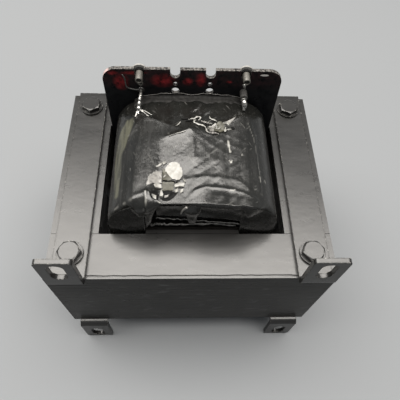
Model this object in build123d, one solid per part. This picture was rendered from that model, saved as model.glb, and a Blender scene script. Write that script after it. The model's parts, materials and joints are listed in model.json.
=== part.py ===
from build123d import *
import os
from math import radians, tan

# Open-frame power transformer, in millimetres: X to the right, Y to the back, Z up.
# The shapes are drawn about the middle of the core and moved at the end, so that the
# part stands on z = 0 with the middle of its overall length and width over the origin.

# Core: one E and its I seen from above, and the stack that they build
tongue_width = 38.1
outer_leg_width = 19.05
yoke_width = 19.05
window_width = 19.05
window_length = 57.15
stack_height = 57.15
packet_count = 7
butt_gap = 0.15

# Strap brackets: a strip along each edge of the core, bent into a slotted tab at the front
strap_width = 13.3
strap_thickness = 1.9
strap_overhang = 2.9
bend_inner_radius = 1.0
tab_reach = 22.3
tab_corner_radius = 1.5
slot_width = 6.0
slot_length = 12.4
slot_centre_reach = 13.9

# Through bolts with washer-faced hexagon heads, and their nuts
bolt_diameter = 4.8
bolt_hole_diameter = 5.3
bolt_hole_sides = 10
cut_overrun = 1.0
bolt_end_projection = 2.4
head_across_flats = 7.94
head_height = 3.1
head_flange_diameter = 10.4
head_flange_thickness = 0.9
hexagon_bevel_angle = 30.0
hexagon_bevel_share = 0.94
hexagon_bevel_sides = 12
head_turns = {"front_left": 2.0, "front_right": 8.0, "back_left": 27.0, "back_right": 34.0}
nut_across_flats = 9.5
nut_height = 3.2
nut_bore_diameter = 5.0

# Coil: a paper former on the tongue, two windings with paper between them, and a tape wrap
coil_side_clearance = 4.4
coil_front_clearance = 1.5
coil_back_clearance = 0.3
coil_overhang = 22.0
coil_crown = 1.2
coil_shoulder_radius = 16.0
former_clearance = 0.3
former_thickness = 1.4
former_corner_radius = 1.0
former_setback = 0.4
layer_gap = 0.1
inner_build_share = 0.48
inner_shoulder_share = 0.55
inner_crown_share = 0.7
paper_thickness = 0.8
inner_winding_margin = 3.4
outer_winding_margin = 2.2
paper_margin = 1.3
tape_thickness = 1.0
tape_lip = 6.5
tape_front_lip = 2.8
tape_edge_bevel = 1.6

# Terminal board: a fibre sheet that straddles the tongue behind the coil
board_thickness = 1.6
board_yoke_clearance = 0.3
board_side_clearance = 1.1
board_tongue_clearance = 0.5
board_rise = 36.2
board_leg_depth = 30.0
board_corner_radius = 6.0
terminal_pitch = 14.5
terminal_count = 4
notch_width = 4.0
notch_depth = 4.2
small_hole_diameter = 2.0
small_hole_drop = 7.4
large_hole_diameter = 3.3
large_hole_drop = 11.2

# Terminals in the outer notches, with their insulating collars
barrel_diameter = 3.0
barrel_bore_diameter = 2.0
barrel_bore_depth = 4.6
barrel_reach = 4.2
barrel_head_diameter = 6.4
barrel_head_thickness = 1.1
collar_clearance = 0.05

# Leads from the coil through the board and up to the terminals' heads, the right one in a sleeve
lead_diameter = 1.3
lead_sides = 6
lead_bend_radius = 1.0
lead_foot_reach = 8.0
lead_level_reach = 5.0
lead_rest_gap = 0.1
sleeve_clearance = 0.05
sleeve_reach = 4.2

# Worked out from the sizes above
core_width = tongue_width + 2 * window_width + 2 * outer_leg_width
core_depth = window_length + 2 * yoke_width
packet_height = stack_height / packet_count
core_front = -core_depth / 2
core_back = core_depth / 2
core_top = stack_height / 2
bolt_x = (core_width - outer_leg_width) / 2
bolt_y = (core_depth - yoke_width) / 2
tab_front = core_front - strap_overhang
tab_tip = core_top + tab_reach
strap_top = core_top + strap_thickness
board_back = window_length / 2 - board_yoke_clearance
board_front = board_back - board_thickness
board_top = core_top + board_rise
terminal_z = board_top - notch_depth + notch_width / 2
terminal_xs = [(place - (terminal_count - 1) / 2) * terminal_pitch for place in range(terminal_count)]
lead_hole_z = board_top - large_hole_drop
coil_half_width = tongue_width / 2 + window_width - coil_side_clearance
coil_half_height = core_top + coil_overhang
coil_front = -window_length / 2 + coil_front_clearance
coil_back = board_front - coil_back_clearance
tongue_half_width = tongue_width / 2 + former_clearance
tongue_half_height = core_top + former_clearance
former_half_width = tongue_half_width + former_thickness
former_half_height = tongue_half_height + former_thickness
winding_start_x = former_half_width + layer_gap
winding_start_z = former_half_height + layer_gap
outer_winding_inset = tape_thickness + layer_gap
paper_space = paper_thickness + 2 * layer_gap
winding_build = coil_half_width - outer_winding_inset - winding_start_x - paper_space
winding_rise = coil_half_height - outer_winding_inset - winding_start_z - paper_space
corners = {
    "front_left": (-bolt_x, -bolt_y),
    "front_right": (bolt_x, -bolt_y),
    "back_left": (-bolt_x, bolt_y),
    "back_right": (bolt_x, bolt_y),
}
to_floor = Pos(0, strap_overhang / 2, core_top + tab_reach)


def save(name, shape):
    export_step(to_floor * shape, f"parts/{name}.step")


def nearest_corner(face, point):
    return face.vertices().sort_by_distance(point)[0]


def bolt_hole(diameter):
    """A hole for a bolt, drawn with flats that touch its circle."""
    return RegularPolygon(diameter / 2, bolt_hole_sides, major_radius=False)


# Core


def drilled(face):
    """A lamination's face with the bolt holes that fall inside it."""
    holes = [Pos(x, y) * bolt_hole(bolt_hole_diameter) for x, y in corners.values()]
    return face - holes


def e_face():
    """An E with its yoke at the back and its legs pointing to the front."""
    leg_reach = core_depth - yoke_width - butt_gap
    whole = Pos(0, core_back - leg_reach / 2) * Rectangle(core_width, leg_reach)
    window = Rectangle(window_width, window_length - butt_gap)
    window_x = (tongue_width + window_width) / 2
    return whole - [Pos(side * window_x, butt_gap / 2) * window for side in (-1, 1)]


def i_face():
    return Pos(0, core_front + yoke_width / 2) * Rectangle(core_width, yoke_width)


def save_core():
    e_packet = extrude(drilled(e_face()), packet_height)
    i_packet = extrude(drilled(i_face()), packet_height)
    for level in range(packet_count):
        turned = (packet_count - 1 - level) % 2 == 1
        place = Pos(0, 0, level * packet_height - core_top) * Rot(Z=180 if turned else 0)
        save(f"e_packet_{level + 1}", place * e_packet)
        save(f"i_packet_{level + 1}", place * i_packet)


# Strap brackets


def bracket():
    """The upper bracket over one edge of the core, drawn at x = 0."""
    tab_back = tab_front + strap_thickness
    outline = Polyline(
        (core_back, core_top),
        (tab_front, core_top),
        (tab_front, tab_tip),
        (tab_back, tab_tip),
        (tab_back, strap_top),
        (core_back, strap_top),
        close=True,
    )
    profile = make_face(outline)
    outer_bend = nearest_corner(profile, (tab_front, core_top))
    profile = fillet(outer_bend, bend_inner_radius + strap_thickness)
    inner_bend = nearest_corner(profile, (tab_back, strap_top))
    profile = fillet(inner_bend, bend_inner_radius)
    strap = extrude(Plane.YZ * profile, strap_width / 2, both=True)
    tip_edges = strap.edges().filter_by(Axis.Y).group_by(Axis.Z)[-1]
    strap = fillet(tip_edges, tab_corner_radius)
    cut_reach = strap_thickness + cut_overrun
    slot = extrude(SlotOverall(slot_length, slot_width, rotation=90), cut_reach, both=True)
    strap -= Pos(0, tab_front, core_top + slot_centre_reach) * Rot(X=90) * slot
    hole = extrude(bolt_hole(bolt_hole_diameter), cut_reach, both=True)
    for y in (-bolt_y, bolt_y):
        strap -= Pos(0, y, strap_top) * hole
    return strap


def save_brackets():
    upper = bracket()
    lower = mirror(upper, about=Plane.XY)
    for side, x in (("left", -bolt_x), ("right", bolt_x)):
        save(f"upper_bracket_{side}", Pos(x, 0) * upper)
        save(f"lower_bracket_{side}", Pos(x, 0) * lower)


# Bolts and nuts


def hexagon(across_flats, height):
    """A hexagon prism standing on z = 0, its upper corners bevelled in flats."""
    prism = extrude(RegularPolygon(across_flats / 2, 6, major_radius=False), height)
    top_radius = across_flats / 2 * hexagon_bevel_share
    base_radius = top_radius + height / tan(radians(hexagon_bevel_angle))
    base = RegularPolygon(base_radius, hexagon_bevel_sides, major_radius=False)
    top = RegularPolygon(top_radius, hexagon_bevel_sides, major_radius=False)
    return prism & loft([base, Pos(0, 0, height) * top], ruled=True)


def bolt(turn):
    """A bolt through the stack and both straps, its head on the upper one."""
    end = -strap_top - nut_height - bolt_end_projection
    shank = Pos(0, 0, end) * extrude(Circle(bolt_diameter / 2), strap_top - end)
    flange = Pos(0, 0, strap_top) * extrude(Circle(head_flange_diameter / 2), head_flange_thickness)
    head = hexagon(head_across_flats, head_height - head_flange_thickness)
    return shank + flange + Pos(0, 0, strap_top + head_flange_thickness) * Rot(Z=turn) * head


def nut(turn):
    """A nut below the lower strap, its bevelled side down."""
    blank = hexagon(nut_across_flats, nut_height)
    blank -= extrude(bolt_hole(nut_bore_diameter), nut_height + cut_overrun, both=True)
    return Pos(0, 0, -strap_top) * Rot(X=180) * Rot(Z=turn) * blank


def save_fasteners():
    for corner, (x, y) in corners.items():
        save(f"bolt_{corner}", Pos(x, y) * bolt(head_turns[corner]))
        save(f"nut_{corner}", Pos(x, y) * nut(head_turns[corner]))


# Coil


def coil_face(half_width, half_height, crown, shoulder_radius):
    """A section of the coil across its axis: straight sides, crowned top and bottom."""
    shoulder = half_height - crown
    sides = [
        Line((half_width, -shoulder), (half_width, shoulder)),
        ThreePointArc((half_width, shoulder), (0, half_height), (-half_width, shoulder)),
        Line((-half_width, shoulder), (-half_width, -shoulder)),
        ThreePointArc((-half_width, -shoulder), (0, -half_height), (half_width, -shoulder)),
    ]
    face = make_face(sides)
    return fillet(face.vertices(), shoulder_radius)


def coil_prism(face, margin):
    """A section of the coil drawn out along the tongue, short of both ends by the margin."""
    placed = Pos(0, coil_back - margin, 0) * (Plane.XZ * face)
    return extrude(placed, coil_back - coil_front - 2 * margin)


def shrunk_coil_face(inset):
    """The outside of the wrapped coil, moved in all round by the inset."""
    return coil_face(
        coil_half_width - inset,
        coil_half_height - inset,
        coil_crown,
        coil_shoulder_radius - inset,
    )


def layer_face(extra):
    """The outside of the inner winding, moved out by the extra."""
    return coil_face(
        winding_start_x + winding_build * inner_build_share + extra,
        winding_start_z + winding_rise * inner_build_share + extra,
        coil_crown * inner_crown_share,
        coil_shoulder_radius * inner_shoulder_share + extra,
    )


def save_windings():
    tube = RectangleRounded(2 * former_half_width, 2 * former_half_height, former_corner_radius)
    tube -= Rectangle(2 * tongue_half_width, 2 * tongue_half_height)
    save("coil_former", coil_prism(tube, former_setback))
    inside = RectangleRounded(2 * winding_start_x, 2 * winding_start_z, former_corner_radius)
    save("inner_winding", coil_prism(layer_face(0) - inside, inner_winding_margin))
    paper = layer_face(layer_gap + paper_thickness) - layer_face(layer_gap)
    save("winding_paper", coil_prism(paper, paper_margin))
    outer_winding = shrunk_coil_face(outer_winding_inset) - layer_face(paper_space)
    save("outer_winding", coil_prism(outer_winding, outer_winding_margin))


def corner_flap(start):
    """Where the tape is folded over an upper front corner of the coil, from x = start to the side."""
    width = coil_half_width - winding_start_x
    block = Box(width, 2 * tape_thickness, coil_overhang, align=(Align.MIN, Align.CENTER, Align.MIN))
    return Pos(start, coil_front, core_top) * block


def save_tape():
    """A skin round the windings, turned in over both ends, most of all at the upper front corners."""
    skin = coil_prism(shrunk_coil_face(0), 0)
    end_edges = skin.edges().group_by(Axis.Y)
    skin = chamfer(end_edges[0] + end_edges[-1], tape_edge_bevel)
    skin -= coil_prism(shrunk_coil_face(tape_thickness), tape_thickness)
    flaps = [corner_flap(winding_start_x), corner_flap(-coil_half_width)]
    skin -= coil_prism(shrunk_coil_face(tape_lip), 0) - flaps
    open_height = coil_overhang - tape_front_lip
    align = (Align.CENTER, Align.CENTER, Align.MIN)
    between_flaps = Box(2 * winding_start_x, 2 * tape_thickness, open_height, align=align)
    skin -= Pos(0, coil_front, core_top) * between_flaps
    save("tape_wrap", skin)


# Terminal board


def board_face():
    """The fibre board from the front: rounded top corners, notches and holes, and a fork below."""
    half_width = tongue_width / 2 + window_width - board_side_clearance
    height = board_rise + board_leg_depth
    face = Pos(0, board_top - height / 2) * Rectangle(2 * half_width, height)
    face = fillet(face.vertices().group_by(Axis.Y)[-1], board_corner_radius)
    fork_width = tongue_width + 2 * board_tongue_clearance
    face -= Pos(0, core_top - board_leg_depth / 2) * Rectangle(fork_width, board_leg_depth)
    for x in terminal_xs:
        face -= Pos(x, terminal_z) * Circle(notch_width / 2)
        face -= Pos(x, terminal_z + notch_depth / 2) * Rectangle(notch_width, notch_depth)
        face -= Pos(x, board_top - small_hole_drop) * Circle(small_hole_diameter / 2)
        face -= Pos(x, board_top - large_hole_drop) * Circle(large_hole_diameter / 2)
    return face


def along_y(face, start, end):
    """A face drawn in X and Z, filled from one y to another."""
    return extrude(Pos(0, end, 0) * (Plane.XZ * face), end - start)


def terminal():
    """A hollow pin through the board at x = 0, with a riveted head behind it."""
    barrel = along_y(Circle(barrel_diameter / 2), board_front - barrel_reach, board_back)
    head = along_y(Circle(barrel_head_diameter / 2), board_back, board_back + barrel_head_thickness)
    mouth = board_front - barrel_reach
    bore = along_y(Circle(barrel_bore_diameter / 2), mouth, mouth + barrel_bore_depth)
    return barrel + head - bore


def collar():
    """The bush that fills a notch round its terminal."""
    outside = Circle(notch_width / 2 - collar_clearance)
    inside = Circle(barrel_diameter / 2 + collar_clearance)
    return along_y(outside - inside, board_front, board_back)


def coil_top_at(x):
    """Height of the wrapped coil at a distance from the middle: its crown, less the turn of a shoulder."""
    crown_radius = (coil_half_width**2 + coil_crown**2) / (2 * coil_crown)
    crown_drop = crown_radius - (crown_radius**2 - x**2) ** 0.5
    reach = abs(x) - (coil_half_width - coil_shoulder_radius)
    shoulder_drop = coil_shoulder_radius - (coil_shoulder_radius**2 - max(reach, 0) ** 2) ** 0.5
    return coil_half_height - crown_drop - shoulder_drop


def lead(foot):
    """A wire at x = 0 from the coil's top, through the board and up behind it to the terminal's head."""
    behind = board_back + lead_rest_gap + lead_diameter / 2
    route = FilletPolyline(
        (0, board_front - lead_foot_reach, foot),
        (0, board_front - lead_level_reach, lead_hole_z),
        (0, behind, lead_hole_z),
        (0, behind, terminal_z - barrel_head_diameter / 2 - lead_rest_gap),
        radius=lead_bend_radius,
    )
    section = RegularPolygon(lead_diameter / 2, lead_sides)
    return sweep(Plane(route @ 0, z_dir=route % 0) * section, route, transition=Transition.ROUND)


def sleeve():
    """The tube that fits the hole in the board at x = 0 and carries a lead to the front."""
    outside = Circle(large_hole_diameter / 2 - sleeve_clearance)
    inside = Circle(lead_diameter / 2 + sleeve_clearance)
    return along_y(outside - inside, board_front - sleeve_reach, board_back)


def save_terminals():
    save("terminal_board", along_y(board_face(), board_front, board_back))
    foot = coil_top_at(terminal_xs[0]) + lead_diameter / 2 + lead_rest_gap
    for side, x in (("left", terminal_xs[0]), ("right", terminal_xs[-1])):
        seat = Pos(x, 0, terminal_z)
        save(f"terminal_{side}", seat * terminal())
        save(f"terminal_collar_{side}", seat * collar())
        save(f"lead_{side}", Pos(x, 0) * lead(foot))
    save("lead_sleeve", Pos(terminal_xs[-1], 0, lead_hole_z) * sleeve())


os.makedirs("parts", exist_ok=True)
save_core()
save_brackets()
save_fasteners()
save_windings()
save_tape()
save_terminals()
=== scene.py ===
"""Looks of an open-frame power transformer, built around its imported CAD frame, in metres."""
import json
import math

import bpy
import numpy as np
from mathutils import Matrix, Vector
from mathutils.geometry import tessellate_polygon


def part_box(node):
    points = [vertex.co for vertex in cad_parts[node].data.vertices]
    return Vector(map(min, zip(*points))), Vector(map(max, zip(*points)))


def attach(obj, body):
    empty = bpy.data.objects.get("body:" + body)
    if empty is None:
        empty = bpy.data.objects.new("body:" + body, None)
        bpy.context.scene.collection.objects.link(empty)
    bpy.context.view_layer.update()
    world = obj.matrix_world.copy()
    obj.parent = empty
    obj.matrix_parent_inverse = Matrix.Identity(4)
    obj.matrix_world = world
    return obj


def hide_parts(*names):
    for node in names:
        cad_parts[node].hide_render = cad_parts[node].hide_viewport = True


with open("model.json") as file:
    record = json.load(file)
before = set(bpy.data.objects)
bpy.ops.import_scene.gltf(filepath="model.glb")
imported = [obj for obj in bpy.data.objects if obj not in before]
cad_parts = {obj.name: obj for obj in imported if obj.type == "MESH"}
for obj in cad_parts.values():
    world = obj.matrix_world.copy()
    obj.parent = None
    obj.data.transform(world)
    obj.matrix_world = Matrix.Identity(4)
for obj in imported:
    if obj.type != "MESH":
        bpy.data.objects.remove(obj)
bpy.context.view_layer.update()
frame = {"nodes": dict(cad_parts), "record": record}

# The core's own frame, in millimetres: x and y from its middle, z over its top
MM = 0.001
CORE_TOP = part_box("e_packet_7")[1].z
CORE_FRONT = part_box("i_packet_7")[0].y
CORE_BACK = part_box("e_packet_7")[1].y
CORE_ORIGIN = np.array((0.0, (CORE_FRONT + CORE_BACK) / 2, CORE_TOP))


def to_row(points):
    """Points of the core's frame in the object's, in metres."""
    return CORE_ORIGIN + MM * np.asarray(points, float)


def node_box(node):
    """Lowest and highest corner of a CAD node, in the core's frame."""
    return [(np.array(corner) - CORE_ORIGIN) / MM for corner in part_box(node)]


def axis_of(node):
    """Where the line along Y through a CAD node's middle crosses y = 0."""
    low, high = node_box(node)
    return np.array(((low[0] + high[0]) / 2, 0, (low[2] + high[2]) / 2))


BOARD_FRONT, BOARD_BACK = (corner[1] for corner in node_box("terminal_board"))


# Materials

NOISE_RANGE = (0.3, 0.7)  # where most of a noise's values lie


class Paint:
    """A node material with short calls for the nodes that the finishes share."""

    def __init__(self, name, color, roughness, metallic=0.0, specular=0.5):
        self.material = bpy.data.materials.new(name)
        self.material.use_nodes = True
        self.nodes = self.material.node_tree.nodes
        self.links = self.material.node_tree.links
        self.shader = self.nodes["Principled BSDF"]
        plain = {"Base Color": (*color, 1.0), "Roughness": roughness, "Metallic": metallic}
        self.feed(self.shader, {**plain, "Specular IOR Level": specular})
        self.place = self.node("TexCoord", {}, "Object")

    def feed(self, node, values):
        """Links outputs to a node's inputs, or sets plain values on them. None leaves an input as it is."""
        for socket, value in values.items():
            if isinstance(value, bpy.types.NodeSocket):
                self.links.new(value, node.inputs[socket])
            elif value is not None:
                node.inputs[socket].default_value = value

    def node(self, kind, values, output, **settings):
        """An output of a new node."""
        node = self.nodes.new("ShaderNode" + kind)
        for name, value in settings.items():
            setattr(node, name, value)
        self.feed(node, values)
        return node.outputs[output]

    def finish(self, color, roughness, surface, gloss=None):
        """The material, with what its shader follows."""
        values = {"Base Color": color, "Roughness": roughness, "Normal": surface}
        self.feed(self.shader, {**values, "Specular IOR Level": gloss})
        return self.material

    def noise(self, per_metre, detail=4.0, rough=0.55, stretch=(1, 1, 1), turn=0.0):
        """Noise at the surface's place, which is turned about the upright axis and then stretched."""
        angle = {"Vector": self.place, "Angle": turn}
        rotated = self.node("VectorRotate", angle, "Vector", rotation_type="Z_AXIS")
        place = self.node("Mapping", {"Vector": rotated, "Scale": stretch}, "Vector")
        values = {"Vector": place, "Scale": per_metre, "Detail": detail, "Roughness": rough}
        return self.node("TexNoise", values, "Fac")

    def attribute(self, name):
        return self.node("Attribute", {}, "Fac", attribute_name=name)

    def ramp(self, value, low, high, start=0.0, end=1.0):
        values = {"Value": value, "From Min": low, "From Max": high, "To Min": start, "To Max": end}
        return self.node("MapRange", values, "Result")

    def spread(self, noise, start=0.0, end=1.0):
        """A noise brought from its usual range to another."""
        return self.ramp(noise, *NOISE_RANGE, start, end)

    def math(self, operation, first, second=0.0):
        return self.node("Math", {0: first, 1: second}, "Value", operation=operation)

    def mix(self, share, first, second):
        """A blend of two colours, each an output or three numbers."""
        first, second = ((*color, 1.0) if isinstance(color, tuple) else color for color in (first, second))
        return self.node("Mix", {"Factor": share, "A": first, "B": second}, "Result", data_type="RGBA")

    def bump(self, height, depth, under=None):
        values = {"Strength": 1.0, "Distance": depth, "Height": height, "Normal": under}
        return self.node("Bump", values, "Normal")

    def along(self, axis):
        """The surface's place along an axis, in metres."""
        return self.node("SeparateXYZ", {0: self.place}, axis)

    def facing(self, axis):
        """How far the surface faces along an axis, from -1 to 1."""
        return self.node("SeparateXYZ", {0: self.node("NewGeometry", {}, "Normal")}, axis)

    def edges(self, radius):
        """Rises from 0 to about 1 at sharp edges, within the radius."""
        rounded = self.node("Bevel", {"Radius": radius}, "Normal", samples=4)
        normals = {0: rounded, 1: self.node("NewGeometry", {}, "Normal")}
        return self.ramp(self.node("VectorMath", normals, "Value", operation="DOT_PRODUCT"), 1.0, 0.75)

    def near(self, spot, reach, edge):
        """1 around a spot given in the core's frame, fading out at its reach in x, y and z."""
        scale = [1.0 / (size * MM) for size in reach]
        shift = [-at * size for at, size in zip(to_row(spot), scale)]
        place = self.node("Mapping", {"Vector": self.place, "Scale": scale, "Location": shift}, "Vector")
        return self.ramp(self.node("VectorMath", {0: place}, "Value", operation="LENGTH"), 1.0, edge)


def black_paint(name):
    """Satin black enamel: the paint, its colour, roughness and uneven surface, and 1 where it lies level."""
    paint = Paint(name, (0.012, 0.012, 0.0115), 0.3)
    blotches = paint.noise(55, 5)
    smears = paint.noise(260, 6, 0.7, (0.25, 1, 1))
    peel = paint.noise(520, 3, 0.5, (0.6, 1, 1))
    color = paint.mix(blotches, (0.004, 0.004, 0.004), (0.012, 0.0117, 0.011))
    roughness = paint.spread(smears, 0.26, 0.33)
    surface = paint.bump(peel, 0.03 * MM, paint.bump(blotches, 0.05 * MM))
    return paint, color, roughness, surface, paint.ramp(paint.facing("Z"), 0.3, 0.8)


def bracket_paint():
    """Enamel that is dull along its edges, with steel showing where they are worn."""
    paint, color, roughness, surface, level = black_paint("bracket_paint")
    chips = paint.ramp(paint.noise(700, 4, 0.7), 0.52, 0.66)
    bare = paint.math("MULTIPLY", paint.edges(0.45 * MM), chips)
    dull = paint.ramp(paint.edges(0.7 * MM), 0.05, 0.5, 1.0, 0.1)
    gloss = paint.math("MULTIPLY", paint.ramp(level, 0.0, 1.0, 0.2, 0.5), dull)
    return paint.finish(paint.mix(bare, color, (0.34, 0.33, 0.31)), roughness, surface, gloss)


PAINT_RIDGE_FROM_FRONT = 1.0


def core_paint():
    """Enamel that is duller and scuffed on the sheets' edges, with a ridge along the front top edge."""
    paint, color, roughness, surface, level = black_paint("core_paint")
    scuffs = paint.ramp(paint.noise(210, 3, 0.5, (0.6, 0.6, 1.5)), 0.6, 0.68)
    scuffs = paint.math("MULTIPLY", scuffs, paint.ramp(paint.noise(60, 2), 0.43, 0.56))
    scuffs = paint.math("MULTIPLY", scuffs, paint.ramp(level, 1.0, 0.0))
    color = paint.mix(scuffs, color, (0.04, 0.0415, 0.041))
    wander = paint.ramp(paint.noise(140, 3, 0.5, (1, 0, 0)), 0.0, 1.0, -0.5 * MM, 0.5 * MM)
    place = paint.math("ADD", paint.along("Y"), wander)
    off = paint.math("SUBTRACT", place, CORE_FRONT + PAINT_RIDGE_FROM_FRONT * MM)
    ridge = paint.ramp(paint.math("ABSOLUTE", off), 0.0, 0.45 * MM, 1.0, 0.0)
    surface = paint.bump(ridge, 0.12 * MM, surface)
    return paint.finish(color, roughness, surface, paint.ramp(level, 0.0, 1.0, 0.06, 0.5))


SCRATCH_TURNS = (0.9, -0.6)
# Places along y between which the film gets glossier to the back
GLOSSY_FROM, GLOSSY_FULL = 10.0, 16.0


def tape_film():
    """Black film with a gloss that breaks up in its creases, its olive patches, and its pale marks and
    painted highlights.
    """
    paint = Paint("tape_film", (0.012, 0.012, 0.011), 0.25, specular=0.45)
    cloud = paint.noise(180, 5, 0.6)
    streaks = paint.noise(420, 4, 0.6, (1, 0.16, 1))
    color = paint.mix(cloud, (0.002, 0.002, 0.0018), (0.008, 0.008, 0.0072))
    color = paint.mix(paint.attribute("olive"), color, (0.042, 0.0415, 0.029))
    # pale: real marks together with painted highlights on the film's glints and crests
    color = paint.mix(paint.attribute("pale"), color, (0.21, 0.206, 0.19))
    specks = paint.ramp(paint.noise(1900, 3, 0.6), 0.66, 0.74, 0.0, 0.35)
    for turn in SCRATCH_TURNS:
        scratches = paint.ramp(paint.noise(900, 2, 0.5, (1, 0.12, 1), turn), 0.66, 0.76, 0.0, 0.3)
        specks = paint.math("MAXIMUM", specks, scratches)
    color = paint.mix(specks, color, (0.12, 0.118, 0.11))
    back = (CORE_ORIGIN[1] + place * MM for place in (GLOSSY_FROM, GLOSSY_FULL))
    calm = paint.ramp(paint.along("Y"), *back, 1.0, 0.7)
    roughness = paint.math("MULTIPLY", paint.ramp(streaks, 0.3, 0.72, 0.17, 0.36), calm)
    fine = paint.bump(paint.noise(900, 5, 0.65), 0.07 * MM)
    return paint.finish(color, roughness, paint.bump(streaks, 0.05 * MM, fine))


def mottled(paint, marks, share, colors, roughness, depth):
    """A material that goes from one colour and roughness to another with its marks, which have a depth."""
    color = paint.mix(share, *colors)
    return paint.finish(color, paint.spread(marks, *roughness), paint.bump(marks, depth * MM))


def varnished_winding():
    """Black varnish over the edges of wound layers."""
    paint = Paint("varnished_winding", (0.008, 0.008, 0.008), 0.25)
    runs = paint.noise(500, 5, 0.6, (0.35, 1, 1))
    colors = (0.004, 0.004, 0.004), (0.02, 0.018, 0.016)
    return mottled(paint, runs, runs, colors, (0.14, 0.4), 0.15)


def varnished_paper():
    """Paper soaked in black varnish."""
    paint = Paint("varnished_paper", (0.004, 0.0035, 0.003), 0.6, specular=0.1)
    fibres = paint.noise(900, 5, 0.7, (1, 0.3, 1))
    colors = (0.0015, 0.0013, 0.0011), (0.006, 0.005, 0.004)
    return mottled(paint, fibres, fibres, colors, (0.4, 0.75), 0.06)


# Where the black paint is rubbed thin on the board: spot and reach in x and z, in the core's frame
RED_SPOTS = [
    ((-29.6, 29.4), (3.8, 5.0)),
    ((-12.4, 30.6), (5.6, 4.2)),
    ((-24.0, 34.3), (6.0, 1.2)),
    ((3.4, 31.2), (2.6, 4.2)),
    ((-2.0, 30.2), (2.6, 2.4)),
    ((15.2, 30.3), (1.5, 0.9)),
    ((-32.4, 34.2), (2.6, 1.5)),
]
BOARD_CHIP = ((29.3, 34.2), (1.9, 0.55))
WORN_CORNER = ((-35.6, 32.0), (3.0, 5.0))
# Heights on the board between which its paint gets thin, and where its edges are fully pale with worn fibre
# and a painted highlight, which fades towards the core's top
THIN_FROM, THIN_FULL = 26.0, 30.0
EDGE_HIGHLIGHT_FROM = 12.0


def painted_board():
    """Red fibre under black paint: red where it is rubbed thin, and pale along its edges with worn speckles
    and a painted highlight that fades towards the bottom.
    """
    paint = Paint("painted_board", (0.006, 0.006, 0.007), 0.3, specular=0.3)

    def around(spot, edge, depth=1.0):
        (x, z), (across, up) = spot
        return paint.near((x, BOARD_FRONT, z), (across, depth, up), edge)

    cloud = paint.noise(420, 6, 0.7)
    rubbed = 0.0
    for spot in RED_SPOTS:
        rubbed = paint.math("MAXIMUM", rubbed, around(spot, 0.25))
    rubbed = paint.math("MULTIPLY", rubbed, paint.ramp(cloud, 0.33, 0.62))
    height = paint.along("Z")
    upper = paint.ramp(height, CORE_TOP + THIN_FROM * MM, CORE_TOP + THIN_FULL * MM)
    thin = paint.math("MULTIPLY", upper, paint.ramp(cloud, 0.4, 0.75))
    color = paint.mix(thin, (0.0025, 0.0028, 0.0034), (0.02, 0.006, 0.007))
    color = paint.mix(rubbed, color, (0.16, 0.009, 0.011))
    color = paint.mix(around(BOARD_CHIP, 0.85), color, (0.42, 0.4, 0.38))
    # Edges: worn speckles and a painted highlight, lighter higher up and darker towards the core as painted
    # shade
    cut = paint.ramp(paint.math("ABSOLUTE", paint.facing("Y")), 0.75, 0.45)
    high = paint.ramp(height, CORE_TOP, CORE_TOP + EDGE_HIGHLIGHT_FROM * MM)
    speckle = paint.ramp(paint.noise(1500, 3, 0.7), 0.42, 0.62)
    edge_wear_and_highlight = paint.mix(speckle, (0.003, 0.0029, 0.0027), (0.11, 0.104, 0.097))
    edge_wear_and_highlight = paint.mix(around(WORN_CORNER, 0.7, 4.0), edge_wear_and_highlight, (0.3, 0.22, 0.21))
    color = paint.mix(paint.math("MULTIPLY", cut, high), color, edge_wear_and_highlight)
    return paint.finish(color, paint.spread(cloud, 0.22, 0.5), paint.bump(cloud, 0.05 * MM))


def tin(name, low, high, roughness, metallic):
    """Tin with handling marks."""
    paint = Paint(name, high, roughness, metallic)
    marks = paint.noise(1300, 5, 0.65)
    return mottled(paint, marks, paint.spread(marks), (low, high), (roughness * 1.3, roughness * 0.8), 0.05)


def plain_film(name, low, high, roughness, specular=0.5):
    """A pale scrap of film or paper, stained unevenly."""
    paint = Paint(name, high, roughness, specular=specular)
    stains = paint.noise(650, 5, 0.6)
    return mottled(paint, stains, paint.spread(stains), (low, high), (roughness * 1.2, roughness * 0.8), 0.12)


FINISHES = {
    "core": core_paint(),
    "bracket": bracket_paint(),
    "paper": varnished_paper(),
    "winding": varnished_winding(),
    "tape": tape_film(),
    "board": painted_board(),
    "collar": plain_film("black_fibre", (0.002, 0.002, 0.002), (0.006, 0.006, 0.006), 0.8, 0.08),
    "terminal": tin("dull_tin", (0.036, 0.0345, 0.03), (0.085, 0.081, 0.072), 0.46, 0.4),
    "lead": tin("bright_tin", (0.03, 0.029, 0.026), (0.36, 0.356, 0.34), 0.26, 0.85),
    "sleeve": plain_film("sleeving", (0.01, 0.01, 0.0095), (0.042, 0.041, 0.039), 0.45),
}
FINISHES["fastener"] = FINISHES["bracket"]
WHITE_FILM = plain_film("white_film", (0.13, 0.126, 0.113), (0.235, 0.233, 0.222), 0.45, 0.3)
# Paler than the pins' tin: the heads' own grey-white, brightened further as a painted highlight of the top
# light on their domes
HEAD_TIN_WITH_HIGHLIGHT = tin("head_tin_with_highlight", (0.12, 0.118, 0.112), (0.24, 0.237, 0.226), 0.5, 0.1)
BEIGE_FILM = plain_film("beige_film", (0.02, 0.0195, 0.0145), (0.056, 0.0535, 0.041), 0.5, 0.3)
GREY_FILM = plain_film("grey_film", (0.03, 0.029, 0.027), (0.17, 0.163, 0.152), 0.3)
HAZY_FILM = plain_film("hazy_film", (0.003, 0.0029, 0.0027), (0.013, 0.0124, 0.0115), 0.6, 0.12)
# Rounding of the hard pieces' edges, by material slot
BEVELLED = {"bracket": 0.3, "fastener": 0.15, "board": 0.12, "collar": 0.1, "paper": 0.15, "sleeve": 0.1}
BEVEL_SEGMENTS = 3
BEVEL_FROM_DEGREES = 40


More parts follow.
